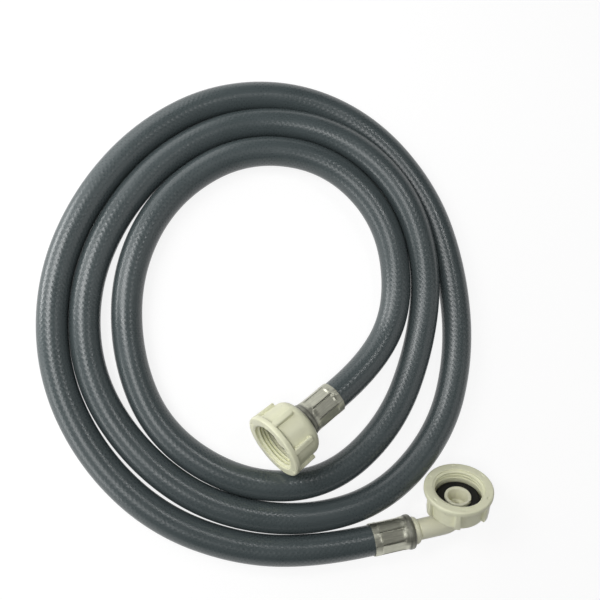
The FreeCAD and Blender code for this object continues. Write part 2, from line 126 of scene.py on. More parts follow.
def length_of(name, millimetres, about):
    """Give a length property with its default in metres."""
    return FloatProperty(name=name, description=about, default=millimetres * MM, min=0.0,
                         unit="LENGTH", precision=5)


def colour_of(name, colour, about):
    """Give a colour property."""
    return FloatVectorProperty(name=name, description=about, default=colour, min=0.0, max=1.0,
                               size=3, subtype="COLOR")


def turn_of(name, degrees, about):
    """Give an angle property."""
    return FloatProperty(name=name, description=about, default=math.radians(degrees), subtype="ANGLE")


def count_of(name, number, low, high, about):
    """Give a whole number property."""
    return IntProperty(name=name, description=about, default=number, min=low, max=high)


def strength_of(name, number, about):
    """Give a property for how strong a light is."""
    return FloatProperty(name=name, description=about, default=number, min=0.0)


class HoseSettings(PropertyGroup):
    bore: length_of("Bore", 10.0, "Inside diameter of the hose")
    liner_wall: length_of("Liner wall", 1.3, "Thickness of the inner PVC tube")
    braid_wall: length_of("Braid wall", 0.5, "Thickness of the woven yarn layer")
    cover_wall: length_of("Cover wall", 1.0, "Thickness of the grey PVC cover")
    grip: length_of("Grip", 21.1, "Length of hose held inside each ferrule")
    sides: count_of("Sides", 40, 12, 96, "Faces around the hose")
    yarns: count_of("Yarns", 16, 6, 48, "Yarns around the hose in each direction")
    dimple: length_of("Dimple", 0.07, "How deep the braid shows through the cover")
    cover_colour: colour_of("Cover", (0.066, 0.083, 0.086), "Colour of the PVC cover")
    yarn_colour: colour_of("Yarn", (0.62, 0.64, 0.62), "Colour of the polyester yarn")
    liner_colour: colour_of("Liner", (0.55, 0.56, 0.52), "Colour of the inner tube")


class FerruleSettings(PropertyGroup):
    crimps: count_of("Crimps", 8, 4, 12, "Pressed flats around the ferrule")
    crimp_depth: length_of("Crimp depth", 0.45, "How far each flat is pressed in")
    crimp_edge: length_of("Crimp edge", 0.5, "Width of the slope round each flat")
    crease_depth: length_of("Crease depth", 0.4, "Depth of the crease between two flats")
    metal_colour: colour_of("Metal", (0.60, 0.60, 0.50), "Colour of the pressed steel")
    painted_shade_colour: colour_of("Painted shade", (0.10, 0.10, 0.085), "Colour of the painted shade in the creases and beside the bead")


class TailSettings(PropertyGroup):
    bore: length_of("Bore", 7.0, "Diameter of the waterway")
    tube: length_of("Elbow tube", 10.8, "Outside diameter of the elbow's bend")
    plastic_colour: colour_of("Plastic", (0.84, 0.83, 0.65), "Colour of the tails")
    rubber_colour: colour_of("Rubber", (0.012, 0.012, 0.011), "Colour of the washers")


class NutSettings(PropertyGroup):
    pitch: length_of("Pitch", 1.814, "Pitch of the thread")
    thread_major: length_of("Thread major", 26.44, "Largest diameter of the thread")
    thread_minor: length_of("Thread minor", 24.12, "Smallest diameter of the thread")
    wall_radius: length_of("Wall radius", 15.6, "Outside radius of the nut's body at the flange")
    rib_radius: length_of("Rib radius", 17.5, "Radius of the ribs' crowns")
    flange_radius: length_of("Flange radius", 17.75, "Outside radius of the flange")
    rib_round: length_of("Rib round", 1.15, "Rounding of the ribs' crowns")
    straight_turn: turn_of("Straight turn", 36, "Turn of the straight end's nut about its axis")
    elbow_turn: turn_of("Elbow turn", 6, "Turn of the elbow end's nut about its axis")
    plastic_colour: colour_of("Plastic", (0.82, 0.82, 0.60), "Colour of the union nuts")


class StageSettings(PropertyGroup):
    floor_size: length_of("Floor", 6000.0, "Side of the square floor")
    floor_colour: colour_of("Floor colour", (0.4, 0.4, 0.4), "Colour that the floor casts back")
    lamp_power: strength_of("Lamps", 1.0, "Share of their power that the lamps give")
    sky_strength: strength_of("Sky", 0.04, "Strength of the even light from all round")


# Frames of the two end fittings: local Z runs out of the hose along its axis

def raised(height):
    """Give the move up local Z by a height in millimetres."""
    return Matrix.Translation((0, 0, height * MM))


def turned(angle):
    """Give the turn about local Z."""
    return Matrix.Rotation(angle, 4, "Z")


def end_frame(tip, inward, across):
    """Give the frame of the hose end at tip, with local X near across."""
    z_axis = (Vector(tip) - Vector(inward)).normalized()
    x_axis = (across - z_axis * across.dot(z_axis)).normalized()
    turn = Matrix((x_axis, z_axis.cross(x_axis), z_axis)).transposed().to_4x4()
    return Matrix.Translation(tip) @ turn


def straight_frame():
    """Give the straight end's frame."""
    return end_frame(ROUTE[0], ROUTE[1], UP)


def elbow_frame():
    """Give the elbow end's frame, with local X along the nut's axis."""
    side = UP.cross(Vector(ROUTE[-1]) - Vector(ROUTE[-2])).normalized()
    return end_frame(ROUTE[-1], ROUTE[-2], side * math.cos(ELBOW_LEAN) + UP * math.sin(ELBOW_LEAN))


def elbow_turned():
    """Give the elbow's corner in its end's frame, with local Z along the nut's axis."""
    return raised(ELBOW_CORNER) @ Matrix.Rotation(math.radians(90), 4, "Y")


def straight_nut_frame():
    """Give the straight nut's frame, from its back face."""
    return straight_frame() @ raised(STRAIGHT_NUT_START)


def elbow_nut_frame():
    """Give the elbow nut's frame, from its back face."""
    return elbow_frame() @ elbow_turned() @ raised(ELBOW_RISE)


# Modelling helpers

def leave_edit_mode():
    """Go back to object mode with nothing selected."""
    if bpy.context.object is not None and bpy.context.object.mode != "OBJECT":
        bpy.ops.object.mode_set(mode="OBJECT")
    bpy.ops.object.select_all(action="DESELECT")


def pick_only(piece):
    """Select this piece alone, in object mode."""
    leave_edit_mode()
    piece.select_set(True)
    bpy.context.view_layer.objects.active = piece


def enter_edit(piece):
    """Open a piece in edit mode."""
    pick_only(piece)
    bpy.ops.object.mode_set(mode="EDIT")
    bpy.ops.mesh.select_mode(type="VERT")


def middle_of(item):
    """Give the middle of a point, an edge or a face."""
    if isinstance(item, bmesh.types.BMVert):
        return item.co
    if isinstance(item, bmesh.types.BMEdge):
        return (item.verts[0].co + item.verts[1].co) / 2
    return item.calc_center_median()


def choose(piece, kind, wanted):
    """Select the points, edges or faces that pass a test of the item and its middle."""
    bpy.ops.mesh.select_mode(type=kind)
    bpy.ops.mesh.select_all(action="DESELECT")
    mesh = bmesh.from_edit_mesh(piece.data)
    items = {"VERT": mesh.verts, "EDGE": mesh.edges, "FACE": mesh.faces}[kind]
    items.index_update()
    found = [item for item in items if wanted(item, middle_of(item))]
    if not found:
        raise RuntimeError("nothing to select on %s" % piece.name)
    for item in found:
        item.select_set(True)
    mesh.select_flush_mode()
    bmesh.update_edit_mesh(piece.data)


def weld():
    """Merge doubled points all over, in edit mode, and leave all selected."""
    bpy.ops.mesh.select_all(action="SELECT")
    bpy.ops.mesh.remove_doubles(threshold=WELD)


def stretch(x, y, z, about=(0, 0, 0)):
    """Scale what is selected about a point."""
    bpy.ops.transform.resize(value=(x, y, z), center_override=about)


def lift(height):
    """Move what is selected up by a height in millimetres."""
    bpy.ops.transform.translate(value=(0, 0, height * MM))


def bevel(width, segments):
    """Round the selected edges."""
    bpy.ops.mesh.bevel(offset=width, segments=segments, profile=0.5, affect="EDGES", clamp_overlap=True)


def spin(steps, angle=FULL_TURN, centre=(0, 0, 0), axis=(0, 0, 1)):
    """Sweep what is selected round an axis."""
    bpy.ops.mesh.spin(steps=steps, angle=angle, center=centre, axis=axis)


def tidy_skin(piece):
    """Merge doubled points and face the skin outwards, in edit mode."""
    weld()
    bpy.ops.mesh.normals_make_consistent(inside=False)
    bpy.ops.mesh.select_all(action="DESELECT")
    bpy.ops.object.mode_set(mode="OBJECT")


def start_profile(name, outline, closed=True):
    """Start a piece as a chain of points (radius, height) in millimetres, in the XZ plane."""
    leave_edit_mode()
    bpy.ops.mesh.primitive_plane_add(size=MM)
    piece = bpy.context.object
    piece.name = name
    piece.data.name = name
    enter_edit(piece)
    bpy.ops.mesh.select_all(action="SELECT")
    bpy.ops.mesh.merge(type="CENTER")
    last = outline[0]
    bpy.ops.transform.translate(value=(last[0] * MM, 0, last[1] * MM))
    for point in outline[1:] + (outline[:1] if closed else []):
        step = ((point[0] - last[0]) * MM, 0, (point[1] - last[1]) * MM)
        bpy.ops.mesh.extrude_vertices_move(TRANSFORM_OT_translate={"value": step})
        last = point
    weld()
    return piece


def lathe(name, outline, steps):
    """Spin a closed outline once round the Z axis into a closed skin."""
    piece = start_profile(name, outline)
    spin(steps)
    tidy_skin(piece)
    return piece


def spin_sector(name, outline, share, steps):
    """Spin an outline through one share of a turn, and centre the sector on local X."""
    piece = start_profile(name, outline)
    spin(steps, FULL_TURN / share)
    weld()
    bpy.ops.object.mode_set(mode="OBJECT")
    middle = sum((point.co for point in piece.data.vertices), Vector())
    place(piece, turned(-math.atan2(middle.y, middle.x)))
    return piece


def close_ring(piece, share):
    """Copy a finished sector round the axis and weld the copies into one skin."""
    sectors = [piece]
    for number in range(1, share):
        sectors.append(copy_piece(piece, piece.name))
        place(sectors[-1], turned(FULL_TURN * number / share))
    join_pieces(sectors)
    enter_edit(piece)
    tidy_skin(piece)


def join_pieces(pieces):
    """Join several meshes into the first."""
    leave_edit_mode()
    for piece in pieces:
        piece.select_set(True)
    bpy.context.view_layer.objects.active = pieces[0]
    bpy.ops.object.join()


def copy_piece(piece, name):
    """Give a copy of a piece with a mesh of its own."""
    pick_only(piece)
    bpy.ops.object.duplicate()
    copy = bpy.context.object
    copy.name = name
    copy.data.name = name
    return copy


def place(piece, matrix):
    """Put a piece in its frame and keep the place in its mesh."""
    pick_only(piece)
    piece.matrix_world = matrix
    bpy.ops.object.transform_apply(location=True, rotation=True, scale=True)


def smooth(piece, degrees):
    """Shade a piece smooth, with creases kept sharp."""
    pick_only(piece)
    bpy.ops.object.shade_smooth_by_angle(angle=math.radians(degrees))


def dress(piece, material, body, slot, *nodes):
    """Give a finished piece its material and body, and hide the solids it stands for."""
    piece.data.materials.clear()
    piece.data.materials.append(material)
    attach(piece, body)
    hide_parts(*nodes)


def fit(piece, matrix, *finish):
    """Place a finished piece, and dress it."""
    place(piece, matrix)
    dress(piece, *finish)


def arc(centre_radius, centre_height, radius, start, end, steps):
    """Give points of an arc in an outline, with angles in degrees from outwards to upwards."""
    angles = [math.radians(start + (end - start) * index / steps) for index in range(steps + 1)]
    return [(centre_radius + radius * math.cos(angle), centre_height + radius * math.sin(angle))
            for angle in angles]


def angle_of(point):
    """Give a point's angle about Z from local X, in degrees."""
    return math.degrees(math.atan2(point.y, point.x))


def mark_painted_shade(piece, amount):
    """Store how much painted shade every point gets, from 0 to 1, worked out from its place in the local
    frame.
    """
    layer = piece.data.attributes.new("crease", "FLOAT", "POINT")
    for point in piece.data.vertices:
        layer.data[point.index].value = amount(point.co)


def wrap_round(piece):
    """Lay a UV map round a ferrule: U is the angle and V the height, both in turns."""
    layer = piece.data.uv_layers.new(name="wrap")
    for polygon in piece.data.polygons:
        centre = math.radians(angle_of(polygon.center))
        for loop in polygon.loop_indices:
            point = piece.data.vertices[piece.data.loops[loop].vertex_index].co
            angle = math.radians(angle_of(point))
            angle += FULL_TURN * round((centre - angle) / FULL_TURN)
            layer.data[loop].uv = (angle / FULL_TURN, point.z / (FULL_TURN * FERRULE_RADIUS * MM))


# Shader nodes and node groups

def feed(tree, socket, value):
    """Feed a socket with another socket, a number or a colour."""
    if isinstance(value, bpy.types.NodeSocket):
        tree.links.new(value, socket)
    elif isinstance(value, (int, float)):
        socket.default_value = value
    else:
        socket.default_value = (*value, 1.0)


def feed_all(tree, sockets, values):
    """Feed several sockets by name."""
    for label, value in values.items():
        feed(tree, sockets[label], value)


def math_node(tree, operation, *values):
    """Add a Math node and give its output."""
    node = tree.nodes.new("ShaderNodeMath")
    node.operation = operation
    for socket, value in zip(node.inputs, values):
        feed(tree, socket, value)
    return node.outputs[0]


def noise_node(tree, vector, scale, detail, rough):
    """Add a Noise Texture and give its factor."""
    node = tree.nodes.new("ShaderNodeTexNoise")
    feed_all(tree, node.inputs, {"Vector": vector, "Scale": scale, "Detail": detail, "Roughness": rough})
    return node.outputs["Fac"]


def mix_colours(tree, factor, first, second):
    """Mix two colours."""
    node = tree.nodes.new("ShaderNodeMix")
    node.data_type = "RGBA"
    for index, value in ((0, factor), (6, first), (7, second)):
        feed(tree, node.inputs[index], value)
    return node.outputs[2]


def ramp_node(tree, value, low, high, out_low=0.0, out_high=1.0):
    """Map a value from one range to another, held at both ends."""
    node = tree.nodes.new("ShaderNodeMapRange")
    for socket, given in zip(node.inputs, (value, low, high, out_low, out_high)):
        feed(tree, socket, given)
    return node.outputs[0]


def new_group(name, inputs, outputs):
    """Start a shader node group: an input with no default is a vector, and all else are numbers."""
    group = bpy.data.node_groups.new(name, "ShaderNodeTree")
    for label, default in inputs.items():
        kind = "NodeSocketVector" if default is None else "NodeSocketFloat"
        socket = group.interface.new_socket(name=label, in_out="INPUT", socket_type=kind)
        if default is not None:
            socket.default_value = default
    for label in outputs:
        group.interface.new_socket(name=label, in_out="OUTPUT", socket_type="NodeSocketFloat")
    return group, group.nodes.new("NodeGroupInput").outputs, group.nodes.new("NodeGroupOutput").inputs


def build_mould_group():
    """Moulded surface: a slow mottle in the colour, and a fine grain in the height."""
    group, given, result = new_group(
        "Moulded Grain", {"Vector": None, "Mottle Scale": 120.0, "Grain Scale": 2200.0},
        ("Mottle", "Grain"))
    mottle = noise_node(group, given["Vector"], given["Mottle Scale"], 4.0, 0.55)
    grain = noise_node(group, given["Vector"], given["Grain Scale"], 2.0, 0.6)
    feed_all(group, result, {"Mottle": ramp_node(group, mottle, 0.3, 0.7), "Grain": grain})
    return group


def build_speck_group():
    """Dust: sparse specks, in patches."""
    group, given, result = new_group(
        "Dust Specks", {"Vector": None, "Scale": 900.0, "Share": 0.3}, ("Specks",))
    cells = group.nodes.new("ShaderNodeTexVoronoi")
    feed_all(group, cells.inputs, {"Vector": given["Vector"], "Scale": given["Scale"]})
    near = ramp_node(group, cells.outputs["Distance"], 0.10, 0.22, 1.0, 0.0)
    chance = noise_node(group, given["Vector"], 160.0, 2.0, 0.5)
    lucky = math_node(group, "GREATER_THAN", chance, math_node(group, "SUBTRACT", 1.0, given["Share"]))
    feed(group, result["Specks"], math_node(group, "MULTIPLY", near, lucky))
    return group


def build_braid_group():
    """Crossed yarns: two sets of helical bands, and the diamond cells between them."""
    group, given, result = new_group(
        "Crossed Yarns", {"Vector": None, "Around": 16.0, "Along": 18.0}, ("Height", "Cells"))
    split = group.nodes.new("ShaderNodeSeparateXYZ")
    feed(group, split.inputs[0], given["Vector"])
    around = math_node(group, "MULTIPLY", split.outputs[0], given["Around"])
    along = math_node(group, "MULTIPLY", split.outputs[1], given["Along"])
    bands = []
    for operation in ("ADD", "SUBTRACT"):
        phase = math_node(group, operation, around, along)
        bands.append(math_node(group, "SINE", math_node(group, "MULTIPLY", phase, FULL_TURN)))
    feed_all(group, result, {
        "Height": ramp_node(group, math_node(group, "MAXIMUM", *bands), -0.8, 1.0),
        "Cells": ramp_node(group, math_node(group, "ADD", *bands), -2.0, 2.0)})
    return group


EFFECTS = {"Moulded Grain": build_mould_group, "Dust Specks": build_speck_group,
           "Crossed Yarns": build_braid_group}


def place_effect(tree, name, values):
    """Add a node group, built the first time that it is asked for, and give its outputs."""
    node = tree.nodes.new("ShaderNodeGroup")
    node.node_tree = bpy.data.node_groups.get(name) or EFFECTS[name]()
    feed_all(tree, node.inputs, values)
    return node.outputs


def moulded(tree, coordinates, mottle_scale, grain_scale):
    """Give a moulded surface's mottle and grain."""
    effect = place_effect(tree, "Moulded Grain", {
        "Vector": coordinates, "Mottle Scale": mottle_scale, "Grain Scale": grain_scale})
    return effect["Mottle"], effect["Grain"]


def speckled(tree, coordinates, under, scale, share, strength, colour):
    """Lay specks of one colour over another."""
    specks = place_effect(tree, "Dust Specks", {"Vector": coordinates, "Scale": scale, "Share": share})
    return mix_colours(tree, math_node(tree, "MULTIPLY", specks["Specks"], strength), under, colour)


def laid_on(tree, name):
    """Give the coordinates of one of the piece's UV maps."""
    node = tree.nodes.new("ShaderNodeUVMap")
    node.uv_map = name
    return node.outputs["UV"]


def crossed(tree, settings):
    """Give the crossed yarns' outputs, laid along the hose."""
    return place_effect(tree, "Crossed Yarns", {
        "Vector": laid_on(tree, "route"), "Around": float(settings.yarns), "Along": settings.yarns * 1.1})


def shade_of(colour, factor):
    """Give a colour made lighter or darker."""
    return tuple(min(1.0, channel * factor) for channel in colour)


def shaded(tree, factor, base, dark, light):
    """Mix a darker and a lighter shade of one colour."""
    return mix_colours(tree, factor, shade_of(base, dark), shade_of(base, light))


# Materials

def new_material(name):
    """Start a material, and give its node tree, its shader's inputs and its object coordinates."""
    material = bpy.data.materials.new(name)
    material.use_nodes = True
    tree = material.node_tree
    coordinates = tree.nodes.new("ShaderNodeTexCoord").outputs["Object"]
    return material, tree, tree.nodes["Principled BSDF"].inputs, coordinates


def add_relief(tree, shader, *layers):
    """Feed the shader's normal with bumps laid over each other: height, depth and strength."""
    normal = None
    for height, depth, strength in layers:
        bump = tree.nodes.new("ShaderNodeBump")
        feed_all(tree, bump.inputs, {"Height": height, "Distance": depth, "Strength": strength})
        if normal is not None:
            feed(tree, bump.inputs["Normal"], normal)
        normal = bump.outputs["Normal"]
    feed(tree, shader["Normal"], normal)


def cover_material(settings):
    """Grey PVC cover, with the braid showing through as shallow diamond dimples."""
    material, tree, shader, coordinates = new_material("Grey PVC Cover")
    base = settings.cover_colour
    cells = crossed(tree, settings)["Cells"]
    mottle, grain = moulded(tree, coordinates, 55.0, 2400.0)
    tone = mix_colours(tree, 0.5, shaded(tree, cells, base, 0.97, 1.03),
                       shaded(tree, mottle, base, 0.92, 1.07))
    rough = math_node(tree, "MULTIPLY_ADD", mottle, 0.08, 0.26)
    crowns = ramp_node(tree, cells, 0.55, 0.9, 0.0, -0.04)
    feed_all(tree, shader, {
        "Base Color": speckled(tree, coordinates, tone, 700.0, 0.42, 0.08, (0.35, 0.36, 0.36)),
        "Roughness": math_node(tree, "ADD", rough, crowns),
        "Specular IOR Level": 0.65})
    fade = ramp_node(tree, noise_node(tree, coordinates, 22.0, 2.0, 0.5), 0.35, 0.65, 0.45, 1.0)
    dimples = math_node(tree, "MULTIPLY", cells, fade)
    add_relief(tree, shader, (dimples, settings.dimple, 0.9), (grain, 0.012 * MM, 0.8))
    return material


def yarn_material(settings):
    """Braid of pale polyester yarn, with painted shade where the yarn dips between the bands."""
    material, tree, shader, _ = new_material("Polyester Yarn")
    height = crossed(tree, settings)["Height"]
    # Painted shade: the yarn's colour is darkened to 0.45 where its height is low, in the hollows between
    # the bands.
    feed_all(tree, shader, {
        "Base Color": shaded(tree, height, settings.yarn_colour, 0.45, 1.0), "Roughness": 0.75})
    add_relief(tree, shader, (height, 0.25 * MM, 1.0))
    return material


def liner_material(settings):
    """Inner tube of milky PVC."""
    material, tree, shader, coordinates = new_material("Milky PVC Liner")
    mottle, grain = moulded(tree, coordinates, 90.0, 1500.0)
    feed_all(tree, shader, {
        "Base Color": shaded(tree, mottle, settings.liner_colour, 0.92, 1.05), "Roughness": 0.4})
    add_relief(tree, shader, (grain, 0.02 * MM, 1.0))
    return material


def ferrule_material(settings):
    """Pressed steel, streaked along the sleeve, with painted shade in the creases and beside the bead,
    and a painted highlight left lighter on the bead's crown.
    """
    material, tree, shader, coordinates = new_material("Pressed Steel")
    base = settings.metal_colour
    stretched = tree.nodes.new("ShaderNodeMapping")
    stretched.inputs["Scale"].default_value = (90.0, 5.0, 1.0)
    feed(tree, stretched.inputs["Vector"], laid_on(tree, "wrap"))
    streaks = noise_node(tree, stretched.outputs["Vector"], 1.0, 4.0, 0.6)
    mottle, grain = moulded(tree, coordinates, 260.0, 2600.0)
    stored = tree.nodes.new("ShaderNodeAttribute")
    stored.attribute_name = "crease"
    crease = stored.outputs["Fac"]
    metal = shaded(tree, ramp_node(tree, streaks, 0.3, 0.7), base, 0.75, 1.15)
    metal = mix_colours(tree, math_node(tree, "MULTIPLY", mottle, 0.35), metal, shade_of(base, 0.6))
    feed_all(tree, shader, {
        # The crease mask mixes in painted shade and makes the metal less metallic there.
        "Base Color": mix_colours(tree, crease, metal, settings.painted_shade_colour),
        "Metallic": math_node(tree, "MULTIPLY_ADD", crease, -0.6, 1.0),
        "Roughness": math_node(tree, "MULTIPLY_ADD", streaks, 0.18, 0.32)})
    add_relief(tree, shader, (streaks, 0.03 * MM, 0.7), (grain, 0.01 * MM, 0.6))
    return material


def plastic_material(name, base, rough_low, rough_high, speck_share):
    """Cream moulded plastic, satin, with a faint mottle and a few dark specks of dirt."""
    material, tree, shader, coordinates = new_material(name)
    mottle, grain = moulded(tree, coordinates, 140.0, 1900.0)
    tone = shaded(tree, mottle, base, 0.94, 1.03)
    feed_all(tree, shader, {
        "Base Color": speckled(tree, coordinates, tone, 520.0, speck_share, 0.3, (0.30, 0.27, 0.18)),
        "Roughness": ramp_node(tree, mottle, 0.0, 1.0, rough_low, rough_high)})
    add_relief(tree, shader, (grain, 0.02 * MM, 0.7))
    return material


def rubber_material(settings):
    """Black rubber, dull and slightly dusty."""
    material, tree, shader, coordinates = new_material("Black Rubber")
    mottle, grain = moulded(tree, coordinates, 300.0, 1700.0)
    tone = shaded(tree, mottle, settings.rubber_colour, 0.8, 1.2)
    feed_all(tree, shader, {
        "Base Color": speckled(tree, coordinates, tone, 900.0, 0.5, 0.05, (0.3, 0.3, 0.28)),
        "Roughness": ramp_node(tree, mottle, 0.0, 1.0, 0.6, 0.75),
        "Specular IOR Level": 0.3})
    add_relief(tree, shader, (grain, 0.05 * MM, 0.8))
    return material


# Hose

def route_points(grip):
    """Read the line of the hose from one smooth spline, and carry both ends on into their ferrules."""
    data = bpy.data.curves.new("route", "CURVE")
    data.dimensions = "3D"
    data.resolution_u = 24
    spline = data.splines.new("NURBS")
    spline.points.add(len(ROUTE) - 1)
    for point, place_at in zip(spline.points, ROUTE):
        point.co = (*place_at, 1.0)
    spline.order_u = 3
    spline.use_endpoint_u = True
    guide = bpy.data.objects.new("route", data)
    bpy.context.scene.collection.objects.link(guide)
    bpy.context.view_layer.update()
    line = bpy.data.meshes.new_from_object(guide)
    middle = [point.co.copy() for point in line.vertices]
    bpy.data.objects.remove(guide)
    bpy.data.meshes.remove(line)
    bpy.data.curves.remove(data)
    steps = 8
    out_first = (Vector(ROUTE[0]) - Vector(ROUTE[1])).normalized() * grip
    out_last = (Vector(ROUTE[-1]) - Vector(ROUTE[-2])).normalized() * grip
    before = [middle[0] + out_first * (1 - index / steps) for index in range(steps)]
    after = [middle[-1] + out_last * (index + 1) / steps for index in range(steps)]
    return before + middle + after


def sweep_ring(name, line, outer, inner, sides):
    """Sweep a ring section along the line, with a UV map laid round it, as one closed skin."""
    points, travelled = [], [0.0]
    across = UP
    last = len(line) - 1
    for index, centre in enumerate(line):
        along = (line[min(index + 1, last)] - line[max(index - 1, 0)]).normalized()
        across = (across - along * across.dot(along)).normalized()
        other = along.cross(across)
        if index:
            step = (centre - line[index - 1]).length
            travelled.append(travelled[-1] + step / (FULL_TURN * outer))
        for radius in (outer, inner):
            for side in range(sides):
                angle = FULL_TURN * side / sides
                points.append(centre + (across * math.cos(angle) + other * math.sin(angle)) * radius)
    faces, uvs = [], []

    def add_face(*corners):
        """Add a face with its UVs, from corners that each have a ring, a wall and a side."""
        faces.append([(2 * ring + wall) * sides + side % sides for ring, wall, side in corners])
        for ring, wall, side in corners:
            uvs.extend((side / sides, travelled[ring]))

    for side in range(sides):
        after = side + 1
        for ring in range(last):
            add_face((ring, 0, side), (ring, 0, after), (ring + 1, 0, after), (ring + 1, 0, side))
            add_face((ring, 1, after), (ring, 1, side), (ring + 1, 1, side), (ring + 1, 1, after))
        add_face((0, 1, side), (0, 1, after), (0, 0, after), (0, 0, side))
        add_face((last, 0, side), (last, 0, after), (last, 1, after), (last, 1, side))
    data = bpy.data.meshes.new(name)
    data.from_pydata(points, [], faces)
    data.uv_layers.new(name="route").data.foreach_set("uv", uvs)
    data.validate()
    piece = bpy.data.objects.new(name, data)
    bpy.context.scene.collection.objects.link(piece)
    return piece


class SUPPLY_OT_hose(Operator):
    """Add the hose: liner, braid and cover on one smooth line"""
    bl_idname = "supply.hose"
    bl_label = "Hose"

    def execute(self, context):
        settings = context.scene.supply_hose
        line = route_points(settings.grip)
        bore = settings.bore / 2
        liner = bore + settings.liner_wall
        braid = liner + settings.braid_wall
        cover = braid + settings.cover_wall
        layers = (
            ("liner_tube", liner, bore, 16, liner_material, "liner_pvc", "hose_liner"),
            ("braid_sleeve", braid, liner, 16, yarn_material, "braid_yarn", "hose_braid"),
            ("cover_tube", cover, braid, settings.sides, cover_material, "cover_pvc", "hose_cover"),
        )
        for name, outer, inner, sides, material, slot, node in layers:
            piece = sweep_ring(name, line, outer, inner, sides)
            smooth(piece, 40)
            dress(piece, material(settings), "hose", slot, node)
        return {"FINISHED"}


class SUPPLY_OT_route(Operator):
    bl_idname = "supply.route"
    bl_label = "Hose as a cord"

    def execute(self, context):
        settings = context.scene.supply_hose
        line = route_points(settings.grip)
        return {"FINISHED"}


# Crimped ferrules

def make_ferrule(settings):
    """Model a ferrule in its own frame: band, pressed flats with creases between, bead and lip."""
    pad_start, pad_end = 3.4, 16.6
    outline = [(7.86, 0.2), (8.1, 0.0), (8.36, 0.0), (8.47, 0.08)]
    rings = (0.25, 1.6, 2.9, pad_start, 4.6, 9.5, 14.5, pad_end)
    outline += [(FERRULE_RADIUS, height) for height in rings]
    outline += [
        (8.52, 17.4), (8.56, 18.2), (8.66, 18.8), (8.86, 19.2), (8.98, 19.7), (9.0, 20.3),
        (8.95, 20.9), (8.82, 21.35), (8.62, 21.7), (8.34, 21.9), (8.0, FERRULE_LENGTH),
        (5.7, FERRULE_LENGTH), (5.48, 21.92), (5.4, 21.75), (5.4, 21.45), (5.5, 21.3), (7.86, 21.3),
    ]
    piece = spin_sector("straight_ferrule_shell", outline, settings.crimps, 30)
    half = 180 / settings.crimps
    radius = FERRULE_RADIUS * MM
    flat = radius - settings.crimp_depth

    def between(at, low, high):
        return low * MM < at.z < high * MM and at.xy.length > 8.3 * MM

    def on_flat(at, low, high):
        return abs(at.x - flat) < 0.01 * MM and low * MM < at.z < high * MM

    enter_edit(piece)
    choose(piece, "VERT", lambda item, at: between(at, -1, 3.2))
    stretch(0.5, 1, 1, about=(8.2 * MM, 0, 0))
    choose(piece, "VERT", lambda item, at: between(at, 3.6, 16.0)
           and abs(abs(angle_of(at)) - half) < 0.2)
    shrink = 1 - settings.crease_depth / radius
    stretch(shrink, shrink, 1)
    choose(piece, "FACE", lambda item, at: between(at, pad_start, pad_end)
           and abs(angle_of(at)) < half - 1.5)
    bpy.ops.mesh.inset(thickness=settings.crimp_edge, depth=0.0)
    stretch(0, 1, 1, about=(flat, 0, 0))
    choose(piece, "VERT", lambda item, at: on_flat(at, 14.7, 16.5))
    lift(-0.5)
    choose(piece, "VERT", lambda item, at: on_flat(at, 3.5, 4.4))
    lift(0.4)
    bpy.ops.object.mode_set(mode="OBJECT")
    close_ring(piece, settings.crimps)

    # Painted shade: the creases between the flats and the sides of the bead are painted dark where shade
    # falls, and a band on the bead's crown is left lighter as a painted highlight.
    def painted_shade_at(point):
        height = point.z / MM
        away = abs((angle_of(point) + half) % (2 * half))
        away = min(away, 2 * half - away)
        creased = 3.2 < height < 16.4 and point.xy.length > 7.9 * MM
        crease = max(0.0, 1 - away / 2.2) if creased else 0.0
        bead = max(0.0, min(1.0, height - 17.8)) * 0.85
        crown = max(0.0, 1 - abs(height - 20.0) / 0.5) * 0.6
        return min(1.0, max(crease, bead - crown))

    mark_painted_shade(piece, painted_shade_at)
    wrap_round(piece)
    smooth(piece, 24)
    return piece


class SUPPLY_OT_ferrules(Operator):
    """Add the two crimped ferrules"""
    bl_idname = "supply.ferrules"
    bl_label = "Ferrules"

    def execute(self, context):
        settings = context.scene.supply_ferrule
        material = ferrule_material(settings)
        straight = make_ferrule(settings)
        elbow = copy_piece(straight, "elbow_ferrule_shell")
        fit(straight, straight_frame(), material, "hose", "ferrule_metal", "straight_ferrule")
        fit(elbow, elbow_frame(), material, "hose", "ferrule_metal", "elbow_ferrule")
        return {"FINISHED"}


# Tails and washers

def shank_outline(bore):
    """Give the barbed shank's outline, from the bore at its tip to the ferrule's mouth."""
    points = [(bore, TIP_SETBACK + 0.3), (bore + 0.25, TIP_SETBACK), (4.1, TIP_SETBACK)]
    for index in range(5):
        foot = TIP_SETBACK + BARB_PITCH * index
        points += [(SHANK_RADIUS, foot + 0.4), (BARB_RADIUS, foot + 2.7),
                   (BARB_RADIUS + 0.05, foot + 2.85), (BARB_RADIUS, foot + 2.93),
                   (SHANK_RADIUS, foot + 3.0)]
    return points + [(SHANK_RADIUS, 21.1), (5.2, 21.1), (5.2, 22.2)]


def head_outline(back, bore):
    """Give the head's outline from its back: disc, nose through the washer, and mouth."""
    face = back + HEAD_THICKNESS
    top = face + WASHER_THICKNESS + NOSE_STAND
    return [
        (HEAD_RADIUS - 0.15, back), (HEAD_RADIUS, back + 0.15), (HEAD_RADIUS, face - 0.15),
        (HEAD_RADIUS - 0.15, face), (NOSE_RADIUS + 0.15, face), (NOSE_RADIUS, face + 0.15),
        (NOSE_RADIUS, top - 0.45), (6.73, top - 0.18), (6.56, top - 0.04), (6.35, top),
        (5.65, top), (5.42, top - 0.05), (5.22, top - 0.2), (5.1, top - 0.45), (5.05, top - 7.6),
        (4.6, top - 8.0), (bore, top - 8.4),
    ]


